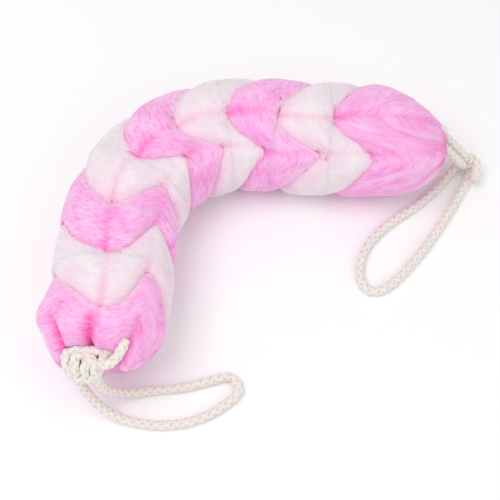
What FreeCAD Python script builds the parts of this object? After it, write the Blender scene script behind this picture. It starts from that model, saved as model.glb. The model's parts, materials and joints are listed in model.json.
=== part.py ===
import FreeCAD, Part
import math
import os

# Back scrubber: a strap of nine loops of gathered net, each passed through the one before it and
# folded back, with a braided rope handle knotted on at each end. Millimetres, +Z up.
# The origin is on the table, under the middle of the strap and knots. The strap lies in a curve
# that starts near -X -Y, runs away from the near end and then turns towards +X.
# A loop's own frame has x along the strap, y to its left and z up, and starts on the strap's axis
# at the loop's fold. Joints turn about vertical axes, where each loop's fold holds the last one's ears.

Vector = FreeCAD.Vector

os.makedirs("parts", exist_ok=True)
doc = FreeCAD.newDocument("BackScrubber")

# ---------------------------------------------------------------------------------------------
# Driving dimensions
# ---------------------------------------------------------------------------------------------
SIZES = {
    # strap
    "strap_height": 89.0,
    "loop_pitch": 41.0,
    "net_radius": 6.8,
    "net_bend": 10.0,
    "fold_offset": 7.6,
    "shoulder_along": 42.0,
    "shoulder_offset": 29.5,
    "cheek_along": 50.5,
    "cheek_offset": 35.0,
    "cheek_rise": 28.5,
    "ear_along": 61.5,
    "ear_offset": 21.0,
    "ear_rise": 8.9,
    "pivot_along": 59.6,
    # first loop, gathered by the rope
    "gather_along": 11.0,
    "gather_length": 13.6,
    "gather_bend": 7.5,
    "gather_shoulder_along": 35.0,
    # last loop, whose free ears hold the rope neck
    "last_cheek_along": 60.0,
    "last_cheek_offset": 33.0,
    "last_cheek_rise": 24.0,
    "last_ear_along": 84.0,
    "last_ear_offset": 17.0,
    # ties round the net where each loop is closed
    "tie_wall": 1.2,
    "tie_length": 7.0,
    # rope
    "rope_radius": 3.75,
    "cinch_along": 16.0,
    "cinch_reach": 18.4,
    "neck_inside": 12.9,
    "neck_reach": 21.6,
    "knot_radius": 9.5,
    "knot_gap": 0.3,
    "near_knot_along": 1.5,
    "near_knot_left": 4.0,
    "near_knot_rise": 17.0,
    "far_knot_along": 114.0,
    "far_knot_left": 6.0,
    # where the strap starts, and its turns to the right at rest, loop by loop
    "start_x": -131.9,
    "start_y": -119.15,
    "start_heading": 9.0,
}
TURNS = [-7.0, 6.0, 21.0, 26.0, 24.0, 16.0, -2.0, -4.0]
LOOP_COUNT = len(TURNS) + 1

sheet = doc.addObject("Spreadsheet::Sheet", "Sizes")
for number, turn in enumerate(TURNS, start=1):
    SIZES["turn_at_joint_%d" % number] = turn
for row, (alias, value) in enumerate(SIZES.items(), start=1):
    sheet.set("A%d" % row, alias)
    sheet.set("B%d" % row, str(value))
    sheet.setAlias("B%d" % row, alias)
doc.recompute()


def size(alias):
    """A driving dimension, read from the sheet."""
    return float(sheet.get(alias))


# ---------------------------------------------------------------------------------------------
# Rope routes: the middle of the rope, in the part's own frame
# ---------------------------------------------------------------------------------------------
NEAR_HANDLE_ROUTE = [
    (-139, -119, 54),
    (-142, -121, 40),
    (-143, -123, 27),
    (-141, -124, 14),
    (-133, -127, 6),
    (-122, -130, 3.75),
    (-108, -134, 3.75),
    (-90, -137, 3.75),
    (-72, -136, 3.75),
    (-55, -131, 3.75),
    (-39, -121, 3.75),
    (-28, -111, 3.75),
    (-34.5, -98.5, 3.75),
    (-49.5, -102.5, 3.75),
    (-63, -107.5, 3.75),
    (-78, -111, 3.75),
    (-97, -114, 3.75),
    (-114, -116, 5),
    (-123, -119, 13),
    (-128, -122, 26),
    (-131, -123, 40),
    (-133, -121, 52),
]
FAR_HANDLE_ROUTE = [
    (165, 82, 6),
    (161, 71, 3.75),
    (154, 56, 3.75),
    (144, 38, 3.75),
    (130, 17, 3.75),
    (114, -3, 3.75),
    (97, -21, 3.75),
    (82, -31, 3.75),
    (69, -31, 3.75),
    (63, -18, 3.75),
    (65, -3, 3.75),
    (73, 13, 3.75),
    (87, 26, 3.75),
    (102, 35, 3.75),
    (118, 45, 3.75),
    (133, 58, 3.75),
    (144, 73, 3.75),
    (151, 86, 6),
]
NEAR_TAIL_ROUTE = [(7, -4, 24), (14, -11, 29), (21, -18, 32)]
FAR_TAIL_ROUTE = [(161, 80, 14.5), (161, 72, 12.5), (159, 62, 11.9)]


# ---------------------------------------------------------------------------------------------
# Tubes: straight runs joined by tangent arcs
# ---------------------------------------------------------------------------------------------
def corner_turn(before, corner, after):
    """How far the path turns at a corner, in radians."""
    return (corner - before).getAngle(after - corner)


def corner_radii(points, closed):
    """The rope rule for each corner: 0.45 of the shorter run over the tangent of half the turn."""
    count = len(points)
    inner = range(count) if closed else range(1, count - 1)
    radii = {}
    for i in inner:
        before, corner, after = points[i - 1], points[i], points[(i + 1) % count]
        shorter = min((corner - before).Length, (after - corner).Length)
        radii[i] = 0.45 * shorter / math.tan(corner_turn(before, corner, after) / 2)
    return radii


def rounded_edges(points, radii, closed):
    """Lines and arcs through the points, and their total length."""
    count = len(points)
    edges = []
    start = (points[-1] + points[0]) * 0.5 if closed else points[0]
    for i in range(0 if closed else 1, count if closed else count - 1):
        before, corner, after = points[i - 1], points[i], points[(i + 1) % count]
        turn = corner_turn(before, corner, after)
        reach = radii[i] * math.tan(turn / 2)
        back = (before - corner).normalize()
        onward = (after - corner).normalize()
        arc_start = corner + back * reach
        arc_end = corner + onward * reach
        inward = (back + onward).normalize()
        middle = corner + inward * (radii[i] / math.cos(turn / 2) - radii[i])
        edges.append(Part.LineSegment(start, arc_start).toShape())
        edges.append(Part.Arc(arc_start, middle, arc_end).toShape())
        start = arc_end
    end = (points[-1] + points[0]) * 0.5 if closed else points[-1]
    edges.append(Part.LineSegment(start, end).toShape())
    return edges


def swept(edges, radius):
    """One round tube along joined edges."""
    first = edges[0]
    start = first.valueAt(first.FirstParameter)
    direction = first.tangentAt(first.FirstParameter)
    circle = Part.Wire(Part.makeCircle(radius, start, direction))
    return Part.Wire(edges).makePipeShell([circle], True, False)


def tube(name, points, radius, bend=None, closed=False):
    """A round tube along a rounded route. Its volume is compared with its section times its length."""
    points = [Vector(*point) for point in points]
    radii = corner_radii(points, closed)
    if bend is not None:
        radii = {i: bend for i in radii}
    edges = rounded_edges(points, radii, closed)
    if closed:
        half = len(edges) // 2
        half -= half % 2
        solid = swept(edges[:half], radius).fuse(swept(edges[half:], radius))
        if solid.ShapeType != "Solid":
            solid = solid.Solids[0]
    else:
        solid = swept(edges, radius)
    length = sum(edge.Length for edge in edges)
    ratio = solid.Volume / (math.pi * radius**2 * length)
    print("%s: length %.1f, volume over section times length %.4f" % (name, length, ratio))
    return solid, radii


def rope(name, points):
    """A rope tube, with its corner radii printed."""
    solid, radii = tube(name, points, size("rope_radius"))
    print("  radii " + " ".join("%.1f" % radius for radius in radii.values()))
    return solid


def mirrored_ring(quarter):
    """A closed ring of points from the quarter with y > 0 and z > 0."""
    top_left = list(quarter)
    top_right = [(x, -y, z) for x, y, z in reversed(quarter)]
    bottom_right = [(x, -y, -z) for x, y, z in quarter]
    bottom_left = [(x, y, -z) for x, y, z in reversed(quarter)]
    return top_left + top_right + bottom_right + bottom_left


def add_computed(name, shape, placement):
    """A document object with a shape worked out from the sheet."""
    node = doc.addObject("Part::Feature", name)
    node.Shape = shape
    node.Placement = placement
    node.Label = name
    nodes.append(node)
    return node


# ---------------------------------------------------------------------------------------------
# The chain's places
# ---------------------------------------------------------------------------------------------
def loop_places():
    """Each loop's placement, and the places of the joints between them, along the strap."""
    pivot = size("pivot_along")
    fold = pivot - size("loop_pitch")
    height = size("strap_height") / 2
    heading = 90 - size("start_heading")
    place = FreeCAD.Placement(
        Vector(size("start_x"), size("start_y"), height),
        FreeCAD.Rotation(Vector(0, 0, 1), heading),
    )
    places = [place]
    joints = []
    for number in range(1, LOOP_COUNT):
        joint = place.multVec(Vector(pivot, 0, 0))
        heading -= size("turn_at_joint_%d" % number)
        turned = FreeCAD.Rotation(Vector(0, 0, 1), heading)
        place = FreeCAD.Placement(joint - turned.multVec(Vector(fold, 0, 0)), turned)
        joints.append(joint)
        places.append(place)
    return places, joints


nodes = []
PLACES, JOINTS = loop_places()
NEAR_PLACE = PLACES[0]
FAR_PLACE = PLACES[-1]


# ---------------------------------------------------------------------------------------------
# Net loops and their ties
# ---------------------------------------------------------------------------------------------
def loop_quarter(number):
    """A quarter of a loop's path, from its fold to the tip of its ear."""
    height = size("strap_height") / 2 - size("net_radius")
    fold = [(0, size("fold_offset"), height)]
    shoulder_along = size("shoulder_along")
    ear = [
        (size("cheek_along"), size("cheek_offset"), size("cheek_rise")),
        (size("ear_along"), size("ear_offset"), size("ear_rise")),
    ]
    if number == 1:
        gathered = size("fold_offset")
        end = size("gather_along")
        fold = [(end, gathered, gathered), (end + size("gather_length"), gathered, gathered + 0.5)]
        shoulder_along = size("gather_shoulder_along")
    if number == LOOP_COUNT:
        ear = [
            (size("last_cheek_along"), size("last_cheek_offset"), size("last_cheek_rise")),
            (size("last_ear_along"), size("last_ear_offset"), size("ear_rise")),
        ]
    return fold + [(shoulder_along, size("shoulder_offset"), height)] + ear


def add_loop(number):
    """One net loop, a closed ring of gathered net tube."""
    bend = size("gather_bend") if number == 1 else size("net_bend")
    name = "net_loop_%d" % number
    solid, _ = tube(name, mirrored_ring(loop_quarter(number)), size("net_radius"), bend, closed=True)
    add_computed(name, solid, PLACES[number - 1])


def add_tie(number):
    """The wound tie that closes a net loop, round the tip of its upper ear."""
    ear = loop_quarter(number)[-1]
    along = Vector(ear[0], size("tie_length") / 2, ear[2])
    turned = FreeCAD.Rotation(Vector(1, 0, 0), 90)
    outer = doc.addObject("Part::Cylinder", "tie_%d_outside" % number)
    outer.setExpression("Radius", "Sizes.net_radius + Sizes.tie_wall")
    outer.setExpression("Height", "Sizes.tie_length")
    inner = doc.addObject("Part::Cylinder", "tie_%d_inside" % number)
    inner.setExpression("Radius", "Sizes.net_radius")
    inner.setExpression("Height", "Sizes.tie_length")
    tie = doc.addObject("Part::Cut", "loop_tie_%d" % number)
    tie.Base = outer
    tie.Tool = inner
    tie.Placement = PLACES[number - 1].multiply(FreeCAD.Placement(along, turned))
    tie.Label = "loop_tie_%d" % number
    nodes.append(tie)


for loop_number in range(1, LOOP_COUNT + 1):
    add_loop(loop_number)
    add_tie(loop_number)


# ---------------------------------------------------------------------------------------------
# Rope: cinch, knots, neck, tails and handles
# ---------------------------------------------------------------------------------------------
def add_knot(name, centre):
    """A tight knot, drawn up round."""
    knot = doc.addObject("Part::Sphere", name)
    knot.setExpression("Radius", "Sizes.knot_radius")
    knot.Placement = FreeCAD.Placement(centre, FreeCAD.Rotation())
    knot.Label = name
    nodes.append(knot)


def clear_of_knot(solid, centre, gap):
    """A rope cut back to a knot's surface, or to a small gap from it where the rope turns."""
    cut = solid.cut(Part.makeSphere(size("knot_radius") + gap, centre))
    return max(cut.Solids, key=lambda piece: piece.Volume)


STRAP_AXIS = size("strap_height") / 2
NEAR_KNOT_LOCAL = Vector(
    size("near_knot_along"), size("near_knot_left"), size("near_knot_rise")
)
NEAR_KNOT = NEAR_PLACE.multVec(NEAR_KNOT_LOCAL)
FAR_KNOT_LOCAL = Vector(
    size("far_knot_along"), size("far_knot_left"), size("knot_radius") - STRAP_AXIS
)
FAR_KNOT = FAR_PLACE.multVec(FAR_KNOT_LOCAL)
WORLD = FreeCAD.Placement()

# The cinch is a turn of rope round the first loop's gathered fold.
cinch_along = size("cinch_along")
cinch_reach = size("cinch_reach")
cinch_corners = [
    (cinch_along, left * cinch_reach, up * cinch_reach)
    for left, up in ((1, 1), (-1, 1), (-1, -1), (1, -1))
]
cinch, _ = tube(
    "near_cinch",
    cinch_corners,
    size("rope_radius"),
    bend=size("net_radius") + size("rope_radius"),
    closed=True,
)
add_computed("near_cinch", cinch, NEAR_PLACE)
near_tail = clear_of_knot(rope("near_tail", NEAR_TAIL_ROUTE), NEAR_KNOT_LOCAL, size("knot_gap"))
add_computed("near_tail", near_tail, NEAR_PLACE)
add_knot("near_knot", NEAR_KNOT)
near_handle = clear_of_knot(rope("near_handle", NEAR_HANDLE_ROUTE), NEAR_KNOT, size("knot_gap"))
add_computed("near_handle", near_handle, WORLD)

# The neck goes over and under the last loop's ears, and down through them.
ear_along = size("last_ear_along")
inside = ear_along - size("neck_inside")
over = size("neck_reach")
NECK_ROUTE = [
    (112, 2, -24),
    (106, 1, 2),
    (ear_along + 6, 0, over),
    (inside, 0, over),
    (inside, 0, -over),
    (ear_along + 3, 1, -over - 1),
    (107, 10, -33),
]
neck = clear_of_knot(rope("far_neck", NECK_ROUTE), FAR_KNOT_LOCAL, 0)
add_computed("far_neck", neck, FAR_PLACE)
add_knot("far_knot", FAR_KNOT)
far_tail = clear_of_knot(rope("far_tail", FAR_TAIL_ROUTE), FAR_KNOT, size("knot_gap"))
add_computed("far_tail", far_tail, WORLD)
far_handle = clear_of_knot(rope("far_handle", FAR_HANDLE_ROUTE), FAR_KNOT, size("knot_gap"))
add_computed("far_handle", far_handle, WORLD)

# ---------------------------------------------------------------------------------------------
# Test the document and write the parts
# ---------------------------------------------------------------------------------------------
doc.recompute()
for item in doc.Objects:
    if "Invalid" in item.State or "Error" in item.State:
        raise RuntimeError("%s failed to build" % item.Label)
for node in nodes:
    if node.Shape.isNull() or not node.Shape.isValid():
        raise RuntimeError("%s has no valid shape" % node.Label)
for node in nodes:
    node.Shape.exportStep("parts/%s.step" % node.Label)

print("joints between the loops:")
for joint in JOINTS:
    print("  %.2f %.2f" % (joint.x, joint.y))
print("neck pivot %s" % FAR_PLACE.multVec(Vector(ear_along, 0, 0)))
print("knots %s %s" % (NEAR_KNOT, FAR_KNOT))
solid_box = FreeCAD.BoundBox()
for node in nodes:
    if node.Label not in ("near_handle", "far_handle"):
        solid_box.add(node.Shape.optimalBoundingBox(False))
print("box without the handles %s" % solid_box)
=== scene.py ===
import json
import math

import bpy
import numpy as np
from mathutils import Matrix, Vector


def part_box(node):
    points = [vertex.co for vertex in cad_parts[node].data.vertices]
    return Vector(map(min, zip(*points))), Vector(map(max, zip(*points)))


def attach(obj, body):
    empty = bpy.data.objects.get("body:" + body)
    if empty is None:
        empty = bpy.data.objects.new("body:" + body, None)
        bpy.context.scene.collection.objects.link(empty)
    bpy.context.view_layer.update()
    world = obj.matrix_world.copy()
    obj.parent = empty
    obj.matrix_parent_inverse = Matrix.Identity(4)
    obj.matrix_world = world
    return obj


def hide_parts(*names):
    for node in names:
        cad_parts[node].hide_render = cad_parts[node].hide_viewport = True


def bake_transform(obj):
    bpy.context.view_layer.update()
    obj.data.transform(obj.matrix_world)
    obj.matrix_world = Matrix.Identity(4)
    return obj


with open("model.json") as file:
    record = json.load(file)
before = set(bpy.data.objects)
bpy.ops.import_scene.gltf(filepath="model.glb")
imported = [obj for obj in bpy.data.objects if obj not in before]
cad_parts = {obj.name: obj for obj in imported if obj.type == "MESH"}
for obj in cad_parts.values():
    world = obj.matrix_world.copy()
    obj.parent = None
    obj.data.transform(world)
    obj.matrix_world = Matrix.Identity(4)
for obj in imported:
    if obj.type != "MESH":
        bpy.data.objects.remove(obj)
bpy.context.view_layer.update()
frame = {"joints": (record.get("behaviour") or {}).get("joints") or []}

# Back scrubber: nine puffed loops of gathered net in a chain, with a plaited rope handle knotted on
# at each end. Lengths are in millimetres up to the meshes, which are in metres.
MM = 0.001
BODY = "strap_loop_%d"


# --------------------
# Camera

CAMERA_TARGET = Vector((-0.0217, -0.008, 0.030))
CAMERA_DISTANCE = 0.68
CAMERA_ELEVATION = math.radians(62)
CAMERA_LENS = 64.5


def add_camera():
    data = bpy.data.cameras.new("camera")
    data.lens = CAMERA_LENS
    data.clip_start = 0.01
    data.clip_end = 50
    camera = bpy.data.objects.new("camera", data)
    back = Vector((0, -math.cos(CAMERA_ELEVATION), math.sin(CAMERA_ELEVATION)))
    camera.location = CAMERA_TARGET + back * CAMERA_DISTANCE
    camera.rotation_mode = "QUATERNION"
    camera.rotation_quaternion = (-back).to_track_quat("-Z", "Y")
    bpy.context.scene.collection.objects.link(camera)
    bpy.context.scene.camera = camera


add_camera()


# --------------------
# Mesh helpers

def add_mesh(name, points, faces, material):
    """A smooth-shaded mesh from points in metres."""
    data = bpy.data.meshes.new(name)
    data.from_pydata(np.asarray(points).tolist(), [], [list(face) for face in faces])
    data.shade_smooth()
    data.materials.append(material)
    piece = bpy.data.objects.new(name, data)
    bpy.context.scene.collection.objects.link(piece)
    return piece


def grid_faces(rows, columns, closed_rows=False):
    """Quads between the points of a grid that is stored row by row and closed across its columns."""
    row = np.arange(rows if closed_rows else rows - 1)
    row, column = np.meshgrid(row, np.arange(columns), indexing="ij")
    next_row, next_column = (row + 1) % rows, (column + 1) % columns
    corners = [
        row * columns + column,
        row * columns + next_column,
        next_row * columns + next_column,
        next_row * columns + column,
    ]
    return np.stack(corners, axis=-1).reshape(-1, 4)


def unit(vectors):
    """Vectors at length one."""
    return vectors / np.linalg.norm(vectors, axis=-1, keepdims=True)


def smoothstep(value, low, high):
    """A smooth rise from 0 at low to 1 at high."""
    share = np.clip((value - low) / (high - low), 0, 1)
    return share * share * (3 - 2 * share)


NOISE_CELLS = 256


def noise(x, y, seed):
    """Smooth noise from -1 to 1 with cells one unit wide."""
    table = np.random.default_rng(seed).uniform(-1, 1, (NOISE_CELLS, NOISE_CELLS))
    column, row = np.floor(x).astype(int), np.floor(y).astype(int)
    across, up = smoothstep(x - column, 0, 1), smoothstep(y - row, 0, 1)

    def corner(i, j):
        return table[(column + i) % NOISE_CELLS, (row + j) % NOISE_CELLS]

    low = corner(0, 0) * (1 - across) + corner(1, 0) * across
    high = corner(0, 1) * (1 - across) + corner(1, 1) * across
    return low * (1 - up) + high * up


# --------------------
# Materials

def colour(red, green, blue):
    """A colour as seen on a screen, from 0 to 255, for a shader."""
    channels = []
    for channel in (red, green, blue):
        share = channel / 255
        channels.append(share / 12.92 if share <= 0.04045 else ((share + 0.055) / 1.055) ** 2.4)
    return (*channels, 1)


def new_material(name, roughness):
    """A material, with its node tree and its shader."""
    material = bpy.data.materials.new(name)
    material.use_nodes = True
    tree = material.node_tree
    tree.nodes.clear()
    output = tree.nodes.new("ShaderNodeOutputMaterial")
    shader = tree.nodes.new("ShaderNodeBsdfPrincipled")
    shader.inputs["Roughness"].default_value = roughness
    tree.links.new(shader.outputs["BSDF"], output.inputs["Surface"])
    return material, tree, shader


def put(tree, target, value):
    """Sets an input to a number or colour, or links it to an output."""
    if isinstance(value, bpy.types.NodeSocket):
        tree.links.new(value, target)
    else:
        target.default_value = value


# The sockets of a Mix node that are for colours.
MIX_SHARE, MIX_FIRST, MIX_SECOND, MIX_RESULT = 0, 6, 7, 2


def mix(tree, share, first, second):
    """A colour that goes from the first to the second as its share goes from 0 to 1."""
    node = tree.nodes.new("ShaderNodeMix")
    node.data_type = "RGBA"
    put(tree, node.inputs[MIX_SHARE], share)
    put(tree, node.inputs[MIX_FIRST], first)
    put(tree, node.inputs[MIX_SECOND], second)
    return node.outputs[MIX_RESULT]


def arithmetic(tree, operation, first, second):
    node = tree.nodes.new("ShaderNodeMath")
    node.operation = operation
    put(tree, node.inputs[0], first)
    put(tree, node.inputs[1], second)
    return node.outputs[0]


def attribute(tree, name):
    """A value that the mesh holds at each of its points."""
    node = tree.nodes.new("ShaderNodeAttribute")
    node.attribute_name = name
    return node.outputs["Fac"]


def uv_noise(tree, scale, detail=2.0, distortion=0.0):
    """Noise over the piece's own map, with its cells to a metre along and round the piece."""
    uv = tree.nodes.new("ShaderNodeUVMap")
    mapping = tree.nodes.new("ShaderNodeMapping")
    mapping.inputs["Scale"].default_value = (*scale, 1)
    texture = tree.nodes.new("ShaderNodeTexNoise")
    texture.inputs["Scale"].default_value = 1.0
    texture.inputs["Detail"].default_value = detail
    texture.inputs["Distortion"].default_value = distortion
    tree.links.new(uv.outputs["UV"], mapping.inputs["Vector"])
    tree.links.new(mapping.outputs["Vector"], texture.inputs["Vector"])
    return texture.outputs["Fac"]


def between(tree, value, low, high):
    """A value stretched so that low becomes 0 and high becomes 1."""
    node = tree.nodes.new("ShaderNodeMapRange")
    node.inputs["From Min"].default_value = low
    node.inputs["From Max"].default_value = high
    put(tree, node.inputs["Value"], value)
    return node.outputs["Result"]


def bump(tree, shader, height, strength, distance):
    """Gives a shader a fine relief."""
    node = tree.nodes.new("ShaderNodeBump")
    node.inputs["Strength"].default_value = strength
    node.inputs["Distance"].default_value = distance
    put(tree, node.inputs["Height"], height)
    tree.links.new(node.outputs["Normal"], shader.inputs["Normal"])


# Cells to a metre of the net's noises, along and round the strap.
PATCH_SCALE, STREAK_SCALE, WEAVE_SCALE = (60, 45), (620, 150), (1500, 420)
WEAVE_HEIGHT = 0.4


def net_material(name, face, pale, fold_shade_colour, thread, painted_glow, contrast):
    """Gathered plastic net: its face colour turns pale in patches and darker along its threads, takes
    painted shade in its folds, and takes some of the next loop's colour where it is thin, as painted light
    shining through."""
    material, tree, shader = new_material(name, roughness=0.62)
    patches = between(tree, uv_noise(tree, PATCH_SCALE, detail=3), 0.35, 0.65)
    surface = mix(tree, patches, face, pale)
    # Painted light: the next loop's colour shining through thin net near the edges.
    surface = mix(tree, attribute(tree, "painted_glow"), surface, painted_glow)
    # Painted shade: a darker pink in the folds and at the near edge.
    surface = mix(tree, attribute(tree, "fold"), surface, fold_shade_colour)
    streaks = uv_noise(tree, STREAK_SCALE, detail=2, distortion=0.3)
    dark_threads = arithmetic(tree, "MULTIPLY", between(tree, streaks, 0.51, 0.64), contrast)
    surface = mix(tree, dark_threads, surface, thread)
    light_threads = arithmetic(tree, "MULTIPLY", between(tree, streaks, 0.49, 0.37), contrast)
    surface = mix(tree, light_threads, surface, pale)
    put(tree, shader.inputs["Base Color"], surface)
    weave = arithmetic(tree, "MULTIPLY", uv_noise(tree, WEAVE_SCALE, detail=2), WEAVE_HEIGHT)
    height = arithmetic(tree, "SUBTRACT", weave, streaks)
    bump(tree, shader, height, strength=0.45, distance=0.0008)
    shader.inputs["Subsurface Weight"].default_value = 0.35
    shader.inputs["Subsurface Radius"].default_value = (1.0, 0.55, 0.8)
    shader.inputs["Subsurface Scale"].default_value = 0.006
    shader.inputs["Sheen Weight"].default_value = 0.2
    shader.inputs["Sheen Roughness"].default_value = 0.5
    shader.inputs["Specular IOR Level"].default_value = 0.35
    return material


FIBRE_SCALE = (260, 3500)


def rope_material(name, face, shade, groove_shade):
    """Soft cotton yarn, with fine fibres along each strand, a little fluff, and painted shade in the grooves
    between strands.
    """
    material, tree, shader = new_material(name, roughness=0.9)
    fibres = uv_noise(tree, FIBRE_SCALE, detail=3, distortion=0.3)
    surface = mix(tree, between(tree, fibres, 0.35, 0.7), face, shade)
    # Painted shade in the grooves between strands.
    surface = mix(tree, attribute(tree, "groove_shade"), surface, groove_shade)
    put(tree, shader.inputs["Base Color"], surface)
    bump(tree, shader, fibres, strength=0.5, distance=0.0005)
    shader.inputs["Sheen Weight"].default_value = 0.5
    shader.inputs["Sheen Roughness"].default_value = 0.6
    shader.inputs["Subsurface Weight"].default_value = 0.1
    shader.inputs["Subsurface Scale"].default_value = 0.002
    return material


# In both nets the fold colour is painted shade, and the colour near the edges is painted light from the next
# loop.
PINK_NET = net_material(
    "pink_net",
    face=colour(250, 160, 222),
    pale=colour(254, 198, 238),
    fold_shade_colour=colour(250, 84, 180),
    thread=colour(228, 108, 198),
    painted_glow=colour(250, 208, 233),
    contrast=0.38,
)
WHITE_NET = net_material(
    "white_net",
    face=colour(233, 220, 228),
    pale=colour(241, 234, 238),
    fold_shade_colour=colour(249, 166, 200),
    thread=colour(224, 204, 216),
    painted_glow=colour(250, 206, 226),
    contrast=0.26,
)
# For both ropes the third colour is painted shade in the grooves.
COTTON = rope_material(
    "cotton_rope",
    face=colour(249, 243, 237),
    shade=colour(233, 224, 214),
    groove_shade=colour(188, 176, 163),
)
THREAD = rope_material(
    "tie_thread",
    face=colour(240, 238, 235),
    shade=colour(220, 216, 210),
    groove_shade=colour(170, 166, 160),
)


# --------------------
# Ropes: the lines that they follow, and their plaited strands. Lengths here are in metres.

ROPE_DIAMETER = 0.0075
# The height of a rope's middle where it lies on the table.
LYING = ROPE_DIAMETER / 2
NEAR_HANDLE_ROUTE = [
    (-0.1400, -0.1165, 0.051), (-0.1390, -0.1185, 0.040), (-0.1350, -0.1222, 0.028),
    (-0.1290, -0.1262, 0.016), (-0.1210, -0.1300, 0.0075), (-0.1085, -0.1340, LYING),
    (-0.090, -0.137, LYING), (-0.072, -0.136, LYING), (-0.055, -0.131, LYING),
    (-0.039, -0.121, LYING), (-0.028, -0.111, LYING), (-0.0345, -0.0985, LYING),
    (-0.0495, -0.1025, LYING), (-0.063, -0.1065, LYING), (-0.078, -0.1095, LYING),
    (-0.094, -0.1105, LYING), (-0.1075, -0.1140, 0.008), (-0.1155, -0.1165, 0.017),
    (-0.1215, -0.1190, 0.029), (-0.1250, -0.1195, 0.041), (-0.1265, -0.1165, 0.052),
]
FAR_HANDLE_ROUTE = [
    (0.1630, 0.0825, 0.0065), (0.1585, 0.0710, LYING), (0.1500, 0.0580, LYING),
    (0.1395, 0.0405, LYING), (0.1255, 0.0195, LYING), (0.1105, -0.0005, LYING),
    (0.0945, -0.0185, LYING), (0.081, -0.0300, LYING), (0.069, -0.0310, LYING),
    (0.063, -0.0180, LYING), (0.065, -0.0030, LYING), (0.073, 0.0130, LYING),
    (0.0865, 0.0270, LYING), (0.1010, 0.0375, LYING), (0.1165, 0.0485, LYING),
    (0.1315, 0.0625, LYING), (0.1435, 0.0765, LYING), (0.1525, 0.0870, 0.0065),
]
# The strands that wind each way, and the length in which a strand goes round once.
PLAIT_STRANDS = 3
PLAIT_LAY = 0.021
# The plait's reach as shares of its radius: its core, its over-and-under wave and its strands.
PLAIT_CORE, PLAIT_WAVE, PLAIT_STRAND = 0.48, 0.10, 0.42
# The strands that wind one way and those that wind the other are this far apart on the map.
PLAIT_MAP_GAP = 0.1
THREAD_PITCH = 0.0011
# Wound thread's reach as shares of its radius, and how much of its pitch lies between threads.
THREAD_CORE, THREAD_STRAND, THREAD_CUT = 0.92, 0.08, 1.9
# A point counts as in the grooves, and takes painted shade, from this share of the radius down, and fully so
# this much lower.
GROOVE_SHADE_FROM, GROOVE_SHADE_SPAN = 0.88, 0.34
TUBE_STEP = 0.0006
TUBE_SIDES = 40
CURVE_STEPS = 16
# Shares of its reach that a tube has at its last points, for a rounded end and a cut one.
ROUNDED_END, CUT_END = (0.45, 0.8, 0.95), (0.9, 0.97, 1.0)


def smooth_line(points):
    """The points of a smooth spline that has these control points."""
    data = bpy.data.curves.new("line", "CURVE")
    data.dimensions = "3D"
    data.resolution_u = CURVE_STEPS
    spline = data.splines.new("NURBS")
    spline.points.add(len(points) - 1)
    for knot, point in zip(spline.points, points):
        knot.co = (*point, 1)
    spline.order_u = 3
    spline.use_endpoint_u = True
    curve = bpy.data.objects.new("line", data)
    mesh = bpy.data.meshes.new_from_object(curve)
    line = np.array([vertex.co for vertex in mesh.vertices])
    bpy.data.objects.remove(curve)
    bpy.data.meshes.remove(mesh)
    bpy.data.curves.remove(data)
    return line


def even_steps(line, step):
    """Points at even distances along a line, with those distances."""
    lengths = np.linalg.norm(np.diff(line, axis=0), axis=1)
    distance = np.concatenate([[0], np.cumsum(lengths)])
    count = int(round(distance[-1] / step))
    wanted = np.linspace(0, distance[-1], count + 1)
    return np.stack([np.interp(wanted, distance, line[:, i]) for i in range(3)], axis=1), wanted


def line_frames(line):
    """Two directions across a line, which turn as little as they can along it."""
    along = unit(np.gradient(line, axis=0))
    side = np.cross(along[0], (0, 0, 1))
    if np.linalg.norm(side) < 0.1:
        side = np.cross(along[0], (1, 0, 0))
    sides = []
    for direction in along:
        side = side - direction * (side @ direction)
        side = side / np.linalg.norm(side)
        sides.append(side)
    sides = np.array(sides)
    return sides, np.cross(along, sides)


def plaited(distance, turn, radius):
    """The reach of a plait's surface, and its map: strands wind both ways, over and under in turn."""
    wave = PLAIT_WAVE * np.cos(2 * math.pi * PLAIT_STRANDS * distance / PLAIT_LAY)
    width = 2 * math.pi * radius / PLAIT_STRANDS
    layers = []
    for way in (1, -1):
        place = PLAIT_STRANDS * (turn / (2 * math.pi) - way * distance / PLAIT_LAY)
        off = place - np.round(place)
        strand = np.sqrt(np.clip(1 - (2 * off) ** 2, 0, 1))
        layers.append((PLAIT_CORE + way * wave + PLAIT_STRAND * strand, off * width + way * PLAIT_MAP_GAP))
    upper = layers[0][0] > layers[1][0]
    reach = np.maximum(layers[0][0], layers[1][0]) * radius
    return reach, np.stack([distance, np.where(upper, layers[0][1], layers[1][1])], axis=-1)


def wound(distance, turn, radius):
    """The reach of thread wound side by side round a bundle, and its map."""
    place = distance / THREAD_PITCH - turn / (2 * math.pi)
    off = place - np.round(place)
    reach = radius * (THREAD_CORE + THREAD_STRAND * np.sqrt(1 - (THREAD_CUT * off) ** 2))
    return reach, np.stack([turn * radius, off * THREAD_PITCH], axis=-1)


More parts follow.
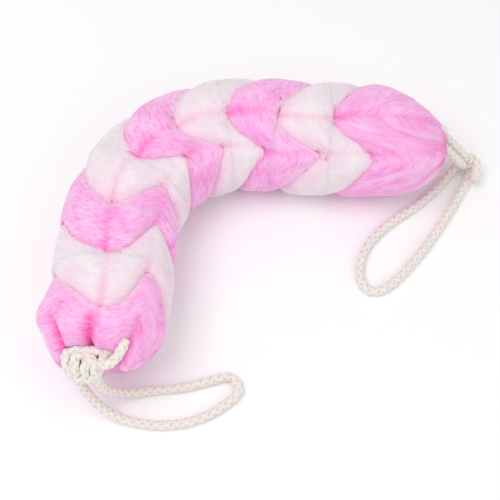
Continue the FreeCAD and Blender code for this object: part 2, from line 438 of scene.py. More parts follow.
def rope_tube(line, radius, surface=plaited, end_reach=ROUNDED_END):
    """A closed tube along a line with a rope's surface: points, faces, map and how far down in the grooves
    each point is, for painted shade.
    """
    line, distance = even_steps(line, TUBE_STEP)
    side, up = line_frames(line)
    turn = np.linspace(0, 2 * math.pi, TUBE_SIDES, endpoint=False)
    distance, turn = np.meshgrid(distance, turn, indexing="ij")
    reach, coordinates = surface(distance, turn, radius)
    # How far down in the grooves a point is, for painted shade.
    groove_shade = np.clip(GROOVE_SHADE_FROM - reach / radius, 0, GROOVE_SHADE_SPAN) / GROOVE_SHADE_SPAN
    for row, share in enumerate(end_reach):
        reach[row] *= share
        reach[-1 - row] *= share
    around = side[:, None] * np.cos(turn)[..., None] + up[:, None] * np.sin(turn)[..., None]
    points = line[:, None] + around * reach[..., None]
    faces = [list(face) for face in grid_faces(len(line), TUBE_SIDES)]
    last = (len(line) - 1) * TUBE_SIDES
    faces.append(list(range(TUBE_SIDES))[::-1])
    faces.append([last + i for i in range(TUBE_SIDES)])
    return points.reshape(-1, 3), faces, coordinates.reshape(-1, 2), groove_shade.ravel()


def add_tubes(name, parts, material):
    """One piece from several tubes."""
    points, faces, maps, groove_shades = [], [], [], []
    count = 0
    for part_points, part_faces, part_map, part_groove_shade in parts:
        points.append(part_points)
        faces += [[count + i for i in face] for face in part_faces]
        maps.append(part_map)
        groove_shades.append(part_groove_shade)
        count += len(part_points)
    piece = add_mesh(name, np.concatenate(points), faces, material)
    set_map(piece, np.concatenate(maps))
    # Painted shade in the grooves, point by point.
    layer = piece.data.attributes.new("groove_shade", "FLOAT", "POINT")
    layer.data.foreach_set("value", np.concatenate(groove_shades))
    return piece


def set_map(piece, coordinates):
    """Gives each point's place on the piece's own map to its face corners."""
    data = piece.data
    layer = data.uv_layers.new(name="map")
    corner_points = np.zeros(len(data.loops), np.int32)
    data.loops.foreach_get("vertex_index", corner_points)
    layer.uv.foreach_set("vector", np.asarray(coordinates)[corner_points].ravel())


def add_rope(name, lines, body, node, end_reach=ROUNDED_END):
    """A rope piece along one or more lines, which stands for a CAD node."""
    parts = [rope_tube(line, ROPE_DIAMETER / 2, end_reach=end_reach) for line in lines]
    piece = add_tubes(name, parts, COTTON)
    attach(piece, body)
    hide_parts(node)
    return piece


def add_handle(node, route):
    """A handle: a limp cord that leaves its knot and comes back to it."""
    line = smooth_line(route)
    add_rope(node + "_rope", [line], node, node)


add_handle("near_handle", NEAR_HANDLE_ROUTE)
add_handle("far_handle", FAR_HANDLE_ROUTE)


# --------------------
# The strap's own coordinates, in millimetres: along its axis, round it in degrees from the top
# towards its right, and out from it

LOOPS = 9
PITCH = 41.0
# From a loop's fold to the joint with the next loop, and to the seam between the loop's halves.
FIRST_JOINT = 59.6
NEXT_ZONE = 39.0
AXIS_HEIGHT = 44.5
START = (-131.9, -119.15)
JOINT_PLACES = {joint["name"]: Vector(joint["pos_m"]) / MM for joint in frame["joints"]}
NECK_ALONG = (LOOPS - 1) * PITCH + 84
TAIL_OF_AXIS = (165.0, 84.6)
# The net that would reach below this height is pressed flat, a little above the table.
FLOOR_PRESS = 2.4
FLOOR_GAP = 0.1


def spline_through(knots, points):
    """A natural cubic spline: a function of distance along it that gives places and directions."""
    knots, points = np.asarray(knots, float), np.asarray(points, float)
    count = len(knots)
    gaps = np.diff(knots)
    matrix, right = np.zeros((count, count)), np.zeros(points.shape)
    matrix[0, 0] = matrix[-1, -1] = 1
    for i in range(1, count - 1):
        matrix[i, i - 1 : i + 2] = gaps[i - 1], 2 * (gaps[i - 1] + gaps[i]), gaps[i]
        slopes = np.diff(points[i - 1 : i + 2], axis=0) / gaps[i - 1 : i + 1, None]
        right[i] = 6 * (slopes[1] - slopes[0])
    bends = np.linalg.solve(matrix, right)

    def at(distance):
        i = np.clip(np.searchsorted(knots, distance) - 1, 0, count - 2)
        gap = gaps[i][..., None]
        before = (knots[i + 1] - distance)[..., None] / gap
        after = 1 - before
        place = before * points[i] + after * points[i + 1]
        place = place + ((before**3 - before) * bends[i] + (after**3 - after) * bends[i + 1]) * gap**2 / 6
        slope = (points[i + 1] - points[i]) / gap
        slope = slope + ((3 * after**2 - 1) * bends[i + 1] - (3 * before**2 - 1) * bends[i]) * gap / 6
        return place, unit(slope)

    return at


def loop_start(number):
    """Where a loop's fold is, along the strap."""
    return PITCH * (number - 1)


axis_knots, axis_points = [0.0], [START]
for loop in range(1, LOOPS):
    axis_knots.append(loop_start(loop) + FIRST_JOINT)
    axis_points.append(tuple(JOINT_PLACES["curl_%d_%d" % (loop, loop + 1)][:2]))
axis_knots.append(NECK_ALONG)
axis_points.append(tuple(JOINT_PLACES["far_neck_swing"][:2]))
axis_knots.append(NECK_ALONG + math.dist(axis_points[-1], TAIL_OF_AXIS))
axis_points.append(TAIL_OF_AXIS)
strap_axis = spline_through(axis_knots, axis_points)


def on_strap(along, angle, out):
    """Places of points in the strap's own coordinates, pressed flat on the table."""
    place, direction = strap_axis(along)
    right = np.stack([direction[..., 1], -direction[..., 0]], axis=-1)
    turn = np.radians(angle)
    level = place + right * (out * np.sin(turn))[..., None]
    height = AXIS_HEIGHT + out * np.cos(turn)
    pressed = FLOOR_GAP + FLOOR_PRESS * np.exp(np.minimum(height / FLOOR_PRESS - 1, 0))
    height = np.where(height < FLOOR_PRESS, pressed, height + FLOOR_GAP)
    return np.concatenate([level, height[..., None]], axis=-1)


# --------------------
# The net's creases and puffs

# A loop's edge runs round the strap in a zigzag: nearest at its two folds, on top and underneath,
# and furthest ahead at its two ears, at the right and the left.
TOP_FOLD = {2: 4, 3: 0, 4: -1, 5: 4, 6: 7, 7: 10, 8: 13, 9: 10}
RIGHT_EAR = {2: 45, 3: 49, 4: 43, 5: 40, 6: 46, 7: 52, 8: 50, 9: 50}
LEFT_EAR = -75
UNDER_FOLD = 177
RIGHT_EAR_AHEAD, LEFT_EAR_AHEAD = 35.0, 37.0
# How slowly an edge leaves its folds towards its ears, as powers: from the top and from underneath.
TOP_TO_RIGHT, TOP_TO_LEFT, UNDER_TO_EAR = 2.2, 1.3, 2.0
CUSP_DEPTH, CUSP_WIDTH = 2.6, 2.2
# The uneven line of an edge: the reach and length of its slow waver and of its threads.
EDGE_WAVER, EDGE_THREADS = 0.7, 0.45
WAVER_LENGTH, THREADS_LENGTH = 6, 1.8
# Degrees over which an ear is rounded.
EAR_ROUND, LAST_EAR_ROUND = 5.0, 11.0
BLUR_SHARES = np.linspace(-1.6, 1.6, 9)
NET_RADIUS = 44.6
BELLY, BELLY_FROM, BELLY_FULL = 3.0, 110, 165
ARC = math.radians(1) * NET_RADIUS
COLUMNS = 240
angles = np.linspace(-180, 180, COLUMNS, endpoint=False)


def wrapped(angle):
    """An angle in degrees from -180 to 180."""
    return (np.asarray(angle, float) + 180) % 360 - 180


def sharp_edge(number, angle):
    """How far ahead of its fold a loop's edge is at an angle round the strap."""
    fold, right = TOP_FOLD[number], RIGHT_EAR[number]
    angle = wrapped(angle - fold) + fold
    under_left = UNDER_FOLD - 360
    top_right, top_left = (angle >= fold) & (angle <= right), (angle < fold) & (angle >= LEFT_EAR)
    sides = [
        (top_right, (angle - fold) / (right - fold), TOP_TO_RIGHT, RIGHT_EAR_AHEAD),
        (angle > right, (UNDER_FOLD - angle) / (UNDER_FOLD - right), UNDER_TO_EAR, RIGHT_EAR_AHEAD),
        (top_left, (fold - angle) / (fold - LEFT_EAR), TOP_TO_LEFT, LEFT_EAR_AHEAD),
        (angle < LEFT_EAR, (angle - under_left) / (LEFT_EAR - under_left), UNDER_TO_EAR, LEFT_EAR_AHEAD),
    ]
    ahead = np.zeros(angle.shape)
    for where, share, power, ear in sides:
        ahead = np.where(where, ear * np.abs(share) ** power, ahead)
    return ahead - CUSP_DEPTH * np.exp(-np.abs(angle - fold) * ARC / CUSP_WIDTH)


def edge_ahead(number, angle):
    """How far ahead of its fold a loop's edge is, with its ears rounded and its line uneven."""
    angle = np.asarray(angle, float)
    ahead = sharp_edge(number, angle)
    reach = LAST_EAR_ROUND if number == LOOPS else EAR_ROUND
    blurred = np.mean([sharp_edge(number, angle + share * reach) for share in BLUR_SHARES], axis=0)
    for ear in (RIGHT_EAR[number], LEFT_EAR):
        closeness = np.exp(-((wrapped(angle - ear) / (2 * reach)) ** 2))
        ahead = ahead * (1 - closeness) + blurred * closeness
    arc = wrapped(angle) * ARC
    own_noise = np.full(angle.shape, number * 3.3)
    waver = noise(arc / WAVER_LENGTH + 60, own_noise, seed=50)
    threads = noise(arc / THREADS_LENGTH + 160, own_noise, seed=51)
    return ahead + EDGE_WAVER * waver + EDGE_THREADS * threads


def edge_along(number, angle):
    """Where a loop's edge is along the strap."""
    return loop_start(number) + edge_ahead(number, angle)


# The crease distance sums a fading power of the distance to each step of an edge.
CREASE_STEP = 0.8
CREASE_POWER = 6
# Points that are summed at one time, so that the sums stay small in memory.
CREASE_BATCH = 4000
# The integral of (1 + x * x) ** (-CREASE_POWER / 2) over a straight line.
CREASE_SCALE = math.sqrt(math.pi) * math.gamma((CREASE_POWER - 1) / 2) / math.gamma(CREASE_POWER / 2)


def crease_distance(along, angle, number):
    """A soft distance over the net from a loop's edge, which runs round corners smoothly."""
    fine = np.arange(-230, 230, 0.1)
    edge = np.stack([edge_along(number, fine), fine * ARC], axis=1)
    lengths = np.concatenate([[0], np.cumsum(np.linalg.norm(np.diff(edge, axis=0), axis=1))])
    steps = np.arange(0, lengths[-1], CREASE_STEP)
    edge = np.stack([np.interp(steps, lengths, edge[:, i]) for i in range(2)], axis=1)
    flat_along, flat_arc = np.ravel(along), np.ravel(wrapped(angle) * ARC)
    total = np.zeros(len(flat_along), np.float32)
    for start in range(0, len(flat_along), CREASE_BATCH):
        part = slice(start, start + CREASE_BATCH)
        squared = (flat_along[part, None] - edge[None, :, 0]) ** 2
        squared = squared + (flat_arc[part, None] - edge[None, :, 1]) ** 2
        total[part] = (np.maximum(squared, 0.01) ** (-CREASE_POWER / 2)).sum(axis=1)
    soft = (total * CREASE_STEP / CREASE_SCALE) ** (-1 / (CREASE_POWER - 1))
    soft = soft.reshape(along.shape)
    slope = (edge_along(number, angle + 0.5) - edge_along(number, angle - 0.5)) / ARC
    near = np.abs(along - edge_along(number, angle)) / np.sqrt(1 + slope**2)
    share = smoothstep(near, 0.5, 4)
    return near * (1 - share) + soft * share


def valley(along, angle, number, middle, depth, base, fade, width):
    """A valley along the strap from a loop's edge, deepest there, with its middle at an angle."""
    ahead = along - edge_along(number, middle)
    strength = (base + depth * np.exp(-np.maximum(ahead, 0) / fade)) * smoothstep(ahead, -1, 1)
    return strength * np.exp(-((np.abs(wrapped(angle - middle)) * ARC / width) ** 1.35))


def round_out(angle):
    """The net's reach from the axis before its creases, fuller underneath."""
    return NET_RADIUS + BELLY * smoothstep(np.abs(wrapped(angle)), BELLY_FROM, BELLY_FULL)


CREASE_DEPTH, CREASE_FADE = 4.6, 2.6
NEAR_CREASE_WIDTH, FAR_CREASE_WIDTH = 13.0, 18.0
# A loop's valleys run from its top fold and its ears, deeper at the ears after the strap's bend.
TOP_VALLEY = {"depth": 3.2, "base": 1.1, "fade": 15, "width": 3.4}
EAR_VALLEY = {"base": 0.3, "fade": 12, "width": 3.6}
EAR_DEPTH, BENT_EAR_DEPTH, FIRST_BENT_LOOP = 1.6, 3.6, 5
# The valley depth at which the painted fold shade is full.
VALLEY_SHADE_DEPTH = 4.5
# How much an edge's zigzag shifts the net's map and wrinkles along with it.
ZIGZAG_SHARE = 0.6
# Each set of wrinkles has a depth, a length and a width.
WRINKLES = [(0.20, 2.4, 9.0), (0.15, 1.7, 5.5), (0.5, 9.0, 22.0)]
FAR_AWAY = 99.0


def puff(along, angle, number):
    """The dip of a loop's face below its full reach, how far it is in a fold for its painted shade, and its
    distances from the loop's near and far edges."""
    dip, fold_shade_share = np.zeros(along.shape), np.zeros(along.shape)
    near, far = np.full(along.shape, FAR_AWAY), np.full(along.shape, FAR_AWAY)
    middle = 0.0
    if number > 1:
        near = crease_distance(along, angle, number)
        dip = dip + CREASE_DEPTH * np.clip(1 - near / NEAR_CREASE_WIDTH, 0, 1) ** CREASE_FADE
        middle = edge_ahead(number, angle)
        valleys = valley(along, angle, number, TOP_FOLD[number], **TOP_VALLEY)
        ear_depth = BENT_EAR_DEPTH if number >= FIRST_BENT_LOOP else EAR_DEPTH
        for ear in (RIGHT_EAR[number], LEFT_EAR):
            valleys = valleys + valley(along, angle, number, ear, ear_depth, **EAR_VALLEY)
        dip = dip + valleys
        # Painted shade, stronger in deeper valleys.
        fold_shade_share = fold_shade_share + np.clip(valleys / VALLEY_SHADE_DEPTH, 0, 1)
    if number < LOOPS:
        far = crease_distance(along, angle, number + 1)
        dip = dip + CREASE_DEPTH * np.clip(1 - far / FAR_CREASE_WIDTH, 0, 1) ** CREASE_FADE
        middle = (middle + edge_ahead(number + 1, angle)) / (2 if number > 1 else 1)
    lengthwise = along - ZIGZAG_SHARE * middle
    arc = wrapped(angle) * ARC
    for depth, length, width in WRINKLES:
        dip = dip + depth * noise(lengthwise / length + 40 * number, arc / width + 150, seed=number)
    return dip, fold_shade_share, near, far


# --------------------
# Net bands: each loop's face, its two edges turned in, and its inside

FACE_ROWS = 54
# An edge's wall, row by row: how far it runs under the neighbour, and how deep it is.
WALL = ((1.8, 1.5), (1.2, 4.5), (0.0, 9.0))
WALL_FOOT = 2.5
# The two halves of a loop run this far under each other at their seam, at this depth.
SEAM_UNDER, SEAM_DEPTH = 3.0, 1.5
# The reach of the hidden inside of a band.
INSIDE = 24.0
# Neighbouring faces overlap by twice this much.
EDGE_OVERLAP = 0.25


def between_rows(first, last, rows):
    """Rows of distances along the strap from one edge to another."""
    share = np.linspace(0, 1, rows)[:, None]
    return first * (1 - share) + last * share


def face_normals(points):
    """Smooth normals of a grid of points that is closed across its columns."""
    across = np.roll(points, -1, axis=1) - np.roll(points, 1, axis=1)
    down = np.gradient(points, axis=0)
    return unit(np.cross(down, across))


def middle_band(number):
    """The face of a loop in the chain, row by row along the strap, with a row at its seam."""
    low = edge_along(number, angles) - EDGE_OVERLAP
    high = edge_along(number + 1, angles) + EDGE_OVERLAP
    seam = np.full(COLUMNS, loop_start(number) + NEXT_ZONE)
    along = np.concatenate(
        [between_rows(low, seam, FACE_ROWS), between_rows(seam, high, FACE_ROWS)[1:]]
    )
    angle = np.broadcast_to(angles, along.shape)
    dip, fold_shade_share, near, far = puff(along, angle, number)
    out = round_out(angle) - dip
    return along, angle, out, fold_shade_share, near, far


def turned_in(along, out, inward):
    """Rows that turn an edge of the face in towards the strap's axis, a little under its neighbour.
    Inward is 1 where the piece lies ahead of the edge along the strap, and -1 where it lies behind."""
    rows = [(along - inward * under, out - depth) for under, depth in WALL]
    rows.append((along + inward * WALL_FOOT, np.full(out.shape, INSIDE)))
    return rows


def add_band(name, number, face, before, after, facts, normals, material):
    """One closed net piece: the face's rows along the strap, with hidden rows before and after them.
    Where the face's normals are given, the rows close into a ring, and otherwise both ends close."""
    ring = normals is not None
    along = np.stack([row[0] for row in before] + list(face[0]) + [row[0] for row in after])
    out = np.stack([row[1] for row in before] + list(face[1]) + [row[1] for row in after])
    rows = len(along)
    shown = slice(len(before), len(before) + len(face[0]))
    angle = np.broadcast_to(angles, along.shape)
    quads = grid_faces(rows, COLUMNS, closed_rows=ring)[:, ::-1]
    faces = [list(quad) for quad in quads]
    if not ring:
        last = (rows - 1) * COLUMNS
        faces.append(list(range(COLUMNS)))
        faces.append([last + COLUMNS - 1 - column for column in range(COLUMNS)])
    flat = np.zeros((rows * COLUMNS, 3))
    flat[:, 0] = along.ravel()
    piece = add_mesh(name, flat * MM, faces, material)
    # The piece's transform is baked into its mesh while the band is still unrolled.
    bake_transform(piece)
    places = on_strap(along, angle, out) * MM
    piece.data.vertices.foreach_set("co", places.ravel())
    for label, values in facts.items():
        full = np.ones(along.shape)
        full[shown] = values
        layer = piece.data.attributes.new(label, "FLOAT", "POINT")
        layer.data.foreach_set("value", full.ravel())
    if ring:
        length = along
        set_face_normals(piece, normals, rows)
    else:
        length = distance_over(along, out)
    zigzag = ZIGZAG_SHARE * edge_ahead(max(number, 2), angle)
    set_map(piece, np.stack([length - zigzag, angle * ARC], axis=-1).reshape(-1, 2) * MM)
    piece.data.update()
    return piece


def set_face_normals(piece, normals, rows):
    """Gives a face the normals of the whole loop, so that no line shows where its halves meet."""
    shown_rows = len(normals)
    corners = np.zeros(len(piece.data.loops), np.int32)
    piece.data.loops.foreach_get("vertex_index", corners)
    face_rows = corners.reshape(-1, 4) // COLUMNS
    on_face = (face_rows.max(axis=1) < shown_rows) & (face_rows.max(axis=1) - face_rows.min(axis=1) == 1)
    point_normals = np.zeros((rows * COLUMNS, 3))
    point_normals[: shown_rows * COLUMNS] = normals.reshape(-1, 3)
    corner_normals = np.zeros((len(corners), 3))
    chosen = np.repeat(on_face, 4)
    corner_normals[chosen] = point_normals[corners[chosen]]
    piece.data.normals_split_custom_set(corner_normals.tolist())


# Painted light, where the neighbours' colour shows through near an edge: its strength, and how far it
# reaches.
PINK_GLOW_NEAR, PINK_GLOW_FAR = (0.55, 1.8), (0.95, 2.6)
WHITE_GLOW_NEAR, WHITE_GLOW_FAR = (0.8, 8.0), (0.9, 2.6)
# The painted fold shade: its strength in a fold, and at a pink and a white loop's near edge.
FOLD_SHADE, PINK_EDGE_SHADE, WHITE_EDGE_SHADE, SHADE_REACH = 0.9, 0.30, 0.15, 2


def is_pink(number):
    """Loops are pink and white in turn, from a pink one."""
    return number % 2 == 1


def feathered(distance, along, angle, number):
    """A distance from an edge, made uneven from thread to thread."""
    wave = noise(along / 1.5 + 90, wrapped(angle) * ARC / 5 + 150, seed=number + 20)
    return np.maximum(distance * (1 + 0.7 * wave) + 0.5 * wave, 0)


def painted_glow_near_edges(number, along, angle, near, far):
    """How much painted light, the neighbours' colour showing through the net, there is near its edges."""
    near = feathered(near, along, angle, number)
    far = feathered(far, along, angle, number)
    if is_pink(number):
        (near_glow, near_reach), (far_glow, far_reach) = PINK_GLOW_NEAR, PINK_GLOW_FAR
    else:
        (near_glow, near_reach), (far_glow, far_reach) = WHITE_GLOW_NEAR, WHITE_GLOW_FAR
    return np.clip(near_glow * np.exp(-near / near_reach) + far_glow * np.exp(-far / far_reach), 0, 1)


def painted_fold_shade(number, fold_shade_share, near):
    """How much painted shade, in the net's darker colour, shows in its folds and at its near edge."""
    edge_shade = PINK_EDGE_SHADE if is_pink(number) else WHITE_EDGE_SHADE
    return np.clip(fold_shade_share * FOLD_SHADE + edge_shade * np.exp(-near / SHADE_REACH), 0, 1)


def finish_net(nodes):
    """Hides the CAD parts that a net piece stands for, if any are given."""
    if nodes:
        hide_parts(*nodes)


def add_middle_bands(number):
    """A loop in the chain, as a near and a far half."""
    along, angle, out, fold_shade_share, near, far = middle_band(number)
    normals = face_normals(on_strap(along, angle, out))
    # Painted light near the edges.
    painted_glow = painted_glow_near_edges(number, along, angle, near, far)
    # Painted shade in the folds and at the near edge.
    folds = painted_fold_shade(number, fold_shade_share, near)
    material = PINK_NET if is_pink(number) else WHITE_NET
    seam = FACE_ROWS - 1
    inside = (along[seam], np.full(COLUMNS, INSIDE))
    under_ahead = (along[seam] + SEAM_UNDER, out[seam] - SEAM_DEPTH)
    under_behind = (along[seam] - SEAM_UNDER, out[seam] - SEAM_DEPTH)
    near_hidden = [under_ahead, inside] + turned_in(along[0], out[0], inward=1)[::-1]
    far_hidden = turned_in(along[-1], out[-1], inward=-1) + [inside, under_behind]
    halves = [
        ("near_half", slice(0, seam + 1), near_hidden, number - 1, ["net_loop_%d" % number]),
        ("far_half", slice(seam, None), far_hidden, number, []),
    ]
    for label, rows, hidden, before, nodes in halves:
        piece = add_band(
            name="net_%d_%s" % (number, label),
            number=number,
            face=(along[rows], out[rows]),
            before=[],
            after=hidden,
            facts={"painted_glow": painted_glow[rows], "fold": folds[rows]},
            normals=normals[rows],
            material=material,
        )
        finish_net(nodes)


for loop in range(2, LOOPS):
    add_middle_bands(loop)


# --------------------
# The two end loops: the near one gathered into its cinch, the far one drawn together to a tip

# Profiles are (along, out) points, from the middle of the gathered end to the loop's full width.
NEAR_TOP = [
    (4.5, 0.5), (5, 6), (9, 12), (14, 13.8), (18.2, 15.5), (18.6, 19.5),
    (17.6, 23.5), (17.8, 28), (20.5, 33), (26, 39), (32, 43),
]
NEAR_SIDE = [
    (4.5, 0.5), (5, 6), (9, 12), (15, 13.8), (19.5, 15.5), (18, 19),
    (12.5, 21), (9.5, 24.5), (12, 30), (19, 35.5), (30, 40.8),
]
NEAR_UNDER = [
    (4.5, 0.5), (8.5, 5), (13, 9.5), (15, 13), (16, 16), (15.8, 19),
    (15.8, 22), (17.5, 26), (21, 31), (28, 36.5), (37, 41),
]
# Degrees from the top: the top profile's half width, and where the side profile begins.
NEAR_TOP_HALF, NEAR_SIDE_FROM = 25, 55
# Degrees between which the side profile turns into the one underneath, at the right and the left.
UNDER_RIGHT_FROM, UNDER_RIGHT, UNDER_LEFT_FROM, UNDER_LEFT = 62, 112, 130, 179
# The first loop is fuller at its left.
LEFT_SWELL, SWELL_ALONG, SWELL_LENGTH = 4.0, 40.0, 14.0
FAR_RIGHT = [(50, 44), (62, 42), (72, 38), (81, 31.5), (87, 24), (90.5, 15), (89.5, 8), (84, 5.5), (78, 4)]
FAR_LEFT = [
    (40.5, 42.2), (47, 39.8), (56.5, 35.4), (68, 28.3), (79.7, 17.7), (86.5, 11.5), (89, 7.5), (85, 5.5),
    (78, 4),
]
END_ROWS = 80
EDGE_ROWS = 50
# The millimetres in which the near end's profile goes over into the loop's full width.
NEAR_WIDENING = 5
# The reaches between which each end's folds set in, past the cinch and past the tip.
PAST_CINCH, PAST_TIP = (14, 22), (3, 20)
# The hidden rows that close each end inside, as places along the loop with their reach.
NEAR_INSIDE, FAR_INSIDE = [(24, 12), (22, 0.5)], [(70, 0.5), (66, 14)]
# Each pleat is at an angle, with its depth. Away from its end it fades between two places along the loop.
NEAR_PLEAT_FADE, FAR_PLEAT_FADE = (20, 44), (58, 84)
NEAR_PLEAT_WIDTH, FAR_PLEAT_WIDTH = 7, 8
# Inside the cinch the pleats are wider and shallower.
GATHERED_WIDTH, GATHERED_SHARE = 9, 0.4
# The share of painted shade at the far tip, and the two places along the loop between which it rises.
TIP_SHADE, TIP_FADE = 0.8, (80, 89)
# The depth at which a far pleat has its full painted shade.
FAR_PLEAT_SHADE_DEPTH = 4
NEAR_PLEATS = [
    (-47, 5.5), (-3, 6.0), (44, 4.5), (92, 1.6), (135, 2.0), (178, 2.5), (-138, 2.0), (-92, 1.6),
]
FAR_PLEATS = [
    (-160, 1.6), (-118, 1.6), (-80, 1.4), (-40, 1.0), (8, 0.9), (48, 1.2), (84, 1.8), (122, 1.6), (158, 1.6),
]


def mixed_profile(first, second, share):
    """Rows along the smooth line through a profile, which goes from one outline to another round the
    strap as its share goes from 0 to 1."""
    first, second = np.array(first, float), np.array(second, float)
    steps = np.linalg.norm(np.diff((first + second) / 2, axis=0), axis=1)
    knots = np.concatenate([[0], np.cumsum(steps)])
    wanted = np.linspace(0, knots[-1], END_ROWS)
    first, second = spline_through(knots, first)(wanted)[0], spline_through(knots, second)(wanted)[0]
    profile = first[:, None] * (1 - share)[None, :, None] + second[:, None] * share[None, :, None]
    return profile[..., 0], np.maximum(profile[..., 1], 0.5)


def pleats(angle, out, folds, width):
    """The depth of the folds that run into a gathered end."""
    total = np.zeros(angle.shape)
    for middle, depth in folds:
        total = total + depth * np.exp(-((np.abs(wrapped(angle - middle)) / width) ** 1.6))
    return np.minimum(total, 0.5 * out)


def pushed_in(along, out, dip):
    """A profile's rows moved in from its surface by a dip."""
    slope_along, slope_out = np.gradient(along, axis=0), np.gradient(out, axis=0)
    size = np.maximum(np.hypot(slope_along, slope_out), 1e-6)
    return along + dip * slope_out / size, out - dip * slope_along / size


def distance_over(along, out):
    """The distance over an end's net from its first row."""
    steps = np.hypot(np.diff(along, axis=0), np.diff(out, axis=0))
    return np.concatenate([np.zeros((1, along.shape[1])), np.cumsum(steps, axis=0)])


def level_rows(places):
    """Hidden rows that are each at one place along the strap, with one reach."""
    return [(np.full(COLUMNS, float(along)), np.full(COLUMNS, float(out))) for along, out in places]


def add_end(number, along, out, before, after, fold_shade_share, near, far):
    """The piece of an end loop."""
    angle = np.broadcast_to(angles, along.shape)
    piece = add_band(
        name="net_%d" % number,
        number=number,
        face=(along, out),
        before=before,
        after=after,
        # Painted light near the edges and painted shade in the folds.
        facts={
            "painted_glow": painted_glow_near_edges(number, along, angle, near, far),
            "fold": painted_fold_shade(number, fold_shade_share, near),
        },
        normals=None,
        material=PINK_NET,
    )
    finish_net(["net_loop_%d" % number])


def near_cap():
    """The near end from its middle out to the loop's full width: top, sides and underneath."""
    side_share = smoothstep(np.abs(angles), NEAR_TOP_HALF, NEAR_SIDE_FROM)
    under_share = smoothstep(angles, UNDER_RIGHT_FROM, UNDER_RIGHT)
    under_share = under_share + smoothstep(-angles, UNDER_LEFT_FROM, UNDER_LEFT)
    top_along, top_out = mixed_profile(NEAR_TOP, NEAR_SIDE, side_share)
    side_along, side_out = mixed_profile(NEAR_SIDE, NEAR_UNDER, np.zeros(COLUMNS))
    under_along, under_out = mixed_profile(NEAR_SIDE, NEAR_UNDER, under_share)
    return top_along + under_along - side_along, top_out + under_out - side_out


def add_near_end():
    cap_along, cap_out = near_cap()
    body_along = between_rows(cap_along[-1], edge_along(2, angles) + EDGE_OVERLAP, EDGE_ROWS)[1:]
    full = round_out(angles)
    body_out = full - (full - cap_out[-1]) * np.exp(-(body_along - cap_along[-1]) / NEAR_WIDENING)
    along, out = np.concatenate([cap_along, body_along]), np.concatenate([cap_out, body_out])
    leftward = np.clip(-np.sin(np.radians(angles)), 0, 1)
    out = out + LEFT_SWELL * leftward * np.exp(-(((along - SWELL_ALONG) / SWELL_LENGTH) ** 2))
    angle = np.broadcast_to(angles, along.shape)
    dip, fold_shade_share, near, far = puff(along, angle, 1)
    past_cinch = smoothstep(out, *PAST_CINCH)
    fade = 1 - smoothstep(along, *NEAR_PLEAT_FADE)
    folded = pleats(angle, out, NEAR_PLEATS, NEAR_PLEAT_WIDTH) * fade * past_cinch
    gathered = GATHERED_SHARE * pleats(angle, out, NEAR_PLEATS, GATHERED_WIDTH) * (1 - past_cinch)
    along, out = pushed_in(along, out, dip * past_cinch + folded + gathered)
    # Painted shade in the pleats and the gathered net.
    fold_shade_share = fold_shade_share + folded / VALLEY_SHADE_DEPTH + 0.5 * gathered
    hidden = turned_in(along[-1], out[-1], inward=-1) + level_rows(NEAR_INSIDE)
    add_end(1, along, out, [], hidden, fold_shade_share, near, far)


def add_far_end():
    start = loop_start(LOOPS)
    right_share = (1 + np.sin(np.radians(angles))) / 2
    cap_along, cap_out = mixed_profile(FAR_LEFT, FAR_RIGHT, right_share)
    cap_along = cap_along + start
    cap_out = cap_out * (round_out(angles) / NET_RADIUS)
    body_along = between_rows(edge_along(LOOPS, angles) - EDGE_OVERLAP, cap_along[0], EDGE_ROWS)[:-1]
    narrowing = np.linspace(0, 1, EDGE_ROWS)[:-1, None] ** 2
    body_out = round_out(angles) * (1 - narrowing) + cap_out[0] * narrowing
    along, out = np.concatenate([body_along, cap_along]), np.concatenate([body_out, cap_out])
    angle = np.broadcast_to(angles, along.shape)
    dip, fold_shade_share, near, far = puff(along, angle, LOOPS)
    folded = pleats(angle, out, FAR_PLEATS, FAR_PLEAT_WIDTH) * smoothstep(along - start, *FAR_PLEAT_FADE)
    along, out = pushed_in(along, out, dip * smoothstep(out, *PAST_TIP) + folded)
    # Painted shade in the pleats and at the tip.
    fold_shade_share = fold_shade_share + folded / FAR_PLEAT_SHADE_DEPTH + TIP_SHADE * smoothstep(along - start, *TIP_FADE)
    hidden = level_rows([(start + place, reach) for place, reach in FAR_INSIDE])
    hidden = hidden + turned_in(along[0], out[0], inward=1)[::-1]
    add_end(LOOPS, along, out, hidden, [], fold_shade_share, near, far)


add_near_end()
add_far_end()


# --------------------
# Cinch, knots, cut tails and neck

def from_loop(number, route):
    """Places in metres of points that are along a loop from its fold, to its left and above its axis."""
    place, direction = strap_axis(np.array([loop_start(number)]))
    (x, y), (east, north) = place[0], direction[0]
    return [
        (
            (x + along * east - left * north) * MM,
            (y + along * north + left * east) * MM,
            (AXIS_HEIGHT + up) * MM,
        )
        for along, left, up in route
    ]


# The cinch's turn is given by (left, up) points. It lies askew, further along at its right.
CINCH_ALONG = 16.5
CINCH_SKEW = 0.16
CINCH_TURN = [
    (6, 18.4), (-6, 18.4), (-13.5, 17.5), (-14, 10), (-10.5, 0), (-7, -8), (0, -11),
    (10, -12), (16.5, -6), (17.6, 9), (14.4, 17.3), (6, 18.6), (-5, 18.2),
]
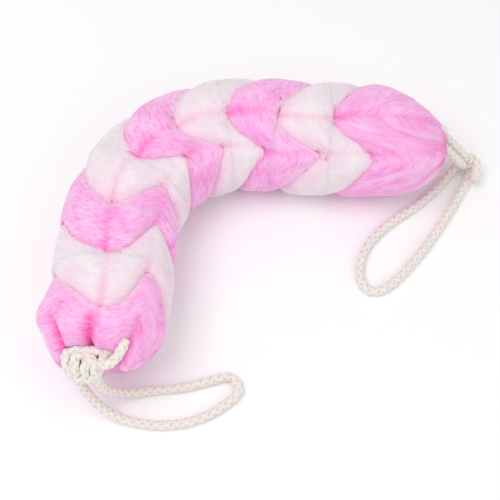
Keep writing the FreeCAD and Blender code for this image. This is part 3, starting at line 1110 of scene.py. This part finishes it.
# The other routes are (along, left, up) points in millimetres, but the far tail's are in metres.
NEAR_UNDER_TURN = [
    (15, 17, 14), (11, 16.8, 17.5), (5, 15.6, 15), (1, 12, 9.5), (0, 6, 6.5),
    (1, -1, 6.5), (3, -5.5, 9), (7.5, -7.5, 15), (12, -8.5, 18.5), (17, -10, 17),
]
NEAR_OUTER_TURN = [
    (13, 3, 15), (12.5, 6.5, 19.5), (9.5, 9.8, 20), (5, 8.9, 17.5), (1.8, 8.2, 12), (1.35, 8.2, 6),
]
NEAR_MIDDLE_TURN = [(13, 0, 13), (9, 1.2, 17.5), (4.5, 2.0, 17), (1.8, 1.4, 11), (1.5, 0.6, 6)]
NEAR_CROSS_TURN = [(13, 5, 15), (12, 1, 20), (8, -3.6, 21.5), (4, -5.8, 17), (3, -5.4, 11), (3.5, -4.9, 6.5)]
NEAR_TAIL_ROUTE = [
    (9, -6, 17), (7.5, -12, 20.5), (10, -16.8, 23), (15, -19.8, 24.5), (20.5, -21.4, 26), (26, -22.2, 27.5),
]
NECK_ROUTES = [
    [(77, 2, 4), (84, 6, 4), (91.5, 8, -0.5), (99, 6.5, -8), (108, 5.2, -18), (114, 5.5, -28)],
    [(77, -2, 2), (84, -1, 3), (91, -0.8, -2.5), (97, -1.8, -9.5), (105, -1.8, -19.5), (111.5, 0, -29.5)],
]
FAR_TAIL_ROUTE = [(0.1650, 0.0845, 0.0135), (0.1645, 0.0755, 0.0128), (0.1605, 0.0650, 0.0120)]
FAR_KNOT_CENTRE = np.array([0.1582, 0.0862, 0.0095])
FAR_KNOT_SIZE = (0.0019, 0.0013, 0.0022)
KNOT_SAMPLES = 120


def closed_knot(centre, size):
    """The line of an overhand knot drawn up tight."""
    turn = np.linspace(0, 2 * math.pi, KNOT_SAMPLES)
    x = np.sin(turn) + 2 * np.sin(2 * turn)
    y = np.cos(turn) - 2 * np.cos(2 * turn)
    z = -np.sin(3 * turn)
    return centre + np.stack([x, y, z], axis=1) * size


def lines_from_loop(number, *routes):
    return [smooth_line(from_loop(number, route)) for route in routes]


cinch_route = [(CINCH_ALONG - CINCH_SKEW * left, left, up) for left, up in CINCH_TURN]
add_rope("near_cinch_rope", lines_from_loop(1, cinch_route, NEAR_UNDER_TURN), BODY % 1, "near_cinch")
near_knot_lines = lines_from_loop(1, NEAR_OUTER_TURN, NEAR_MIDDLE_TURN, NEAR_CROSS_TURN)
add_rope("near_knot_rope", near_knot_lines, "near_knot", "near_knot")
add_rope("near_tail_rope", lines_from_loop(1, NEAR_TAIL_ROUTE), BODY % 1, "near_tail", CUT_END)
add_rope("far_neck_rope", lines_from_loop(LOOPS, *NECK_ROUTES), "far_neck", "far_neck")
add_rope("far_knot_rope", [closed_knot(FAR_KNOT_CENTRE, FAR_KNOT_SIZE)], "far_neck", "far_knot")
add_rope("far_tail_rope", [smooth_line(FAR_TAIL_ROUTE)], "far_handle", "far_tail", CUT_END)


# --------------------
# Ring ties: thread wound round the net where each loop's cut ends meet, inside the chain

# Half of a tie's length in metres, and its reach in millimetres.
TIE_HALF = 0.0035
TIE_REACH = 7.9
TIE_END = (0.6, 0.92)


def add_tie(number):
    low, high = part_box("loop_tie_%d" % number)
    centre = (np.array(low) + np.array(high)) / 2
    _, direction = strap_axis(np.array([loop_start(number)]))
    left = np.array([-direction[0][1], direction[0][0], 0.0])
    line = centre + left * np.linspace(-TIE_HALF, TIE_HALF, 9)[:, None]
    part = rope_tube(line, TIE_REACH * MM, wound, TIE_END)
    piece = add_tubes("loop_%d_tie" % number, [part], THREAD)
    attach(piece, BODY % number)
    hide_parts("loop_tie_%d" % number)


for loop in range(1, LOOPS + 1):
    add_tie(loop)


# --------------------
# Stage

def add_floor():
    material, _, shader = new_material("floor", roughness=0.9)
    shader.inputs["Base Color"].default_value = (0.97, 0.97, 0.97, 1)
    shader.inputs["Specular IOR Level"].default_value = 0.1
    half = 4.0
    corners = [(-half, -half, 0), (half, -half, 0), (half, half, 0), (-half, half, 0)]
    floor = add_mesh("floor", corners, [(0, 1, 2, 3)], material)


def add_light(name, place, target, size, power):
    data = bpy.data.lights.new(name, "AREA")
    data.shape = "DISK"
    data.size = size
    data.energy = power
    light = bpy.data.objects.new(name, data)
    light.location = place
    aim = Vector(target) - Vector(place)
    light.rotation_mode = "QUATERNION"
    light.rotation_quaternion = aim.to_track_quat("-Z", "Y")
    bpy.context.scene.collection.objects.link(light)


def add_world(strength):
    world = bpy.data.worlds.new("studio")
    world.use_nodes = True
    background = world.node_tree.nodes["Background"]
    background.inputs["Color"].default_value = (1, 1, 1, 1)
    background.inputs["Strength"].default_value = strength
    bpy.context.scene.world = world


MIDDLE = (0, 0, 0.03)
add_floor()
add_world(strength=0.68)
add_light("key", place=(-0.5, -0.2, 1.3), target=MIDDLE, size=0.9, power=6.8)
add_light("fill", place=(0.9, -0.7, 1.0), target=MIDDLE, size=1.2, power=3)
bpy.context.scene.view_settings.view_transform = "Standard"
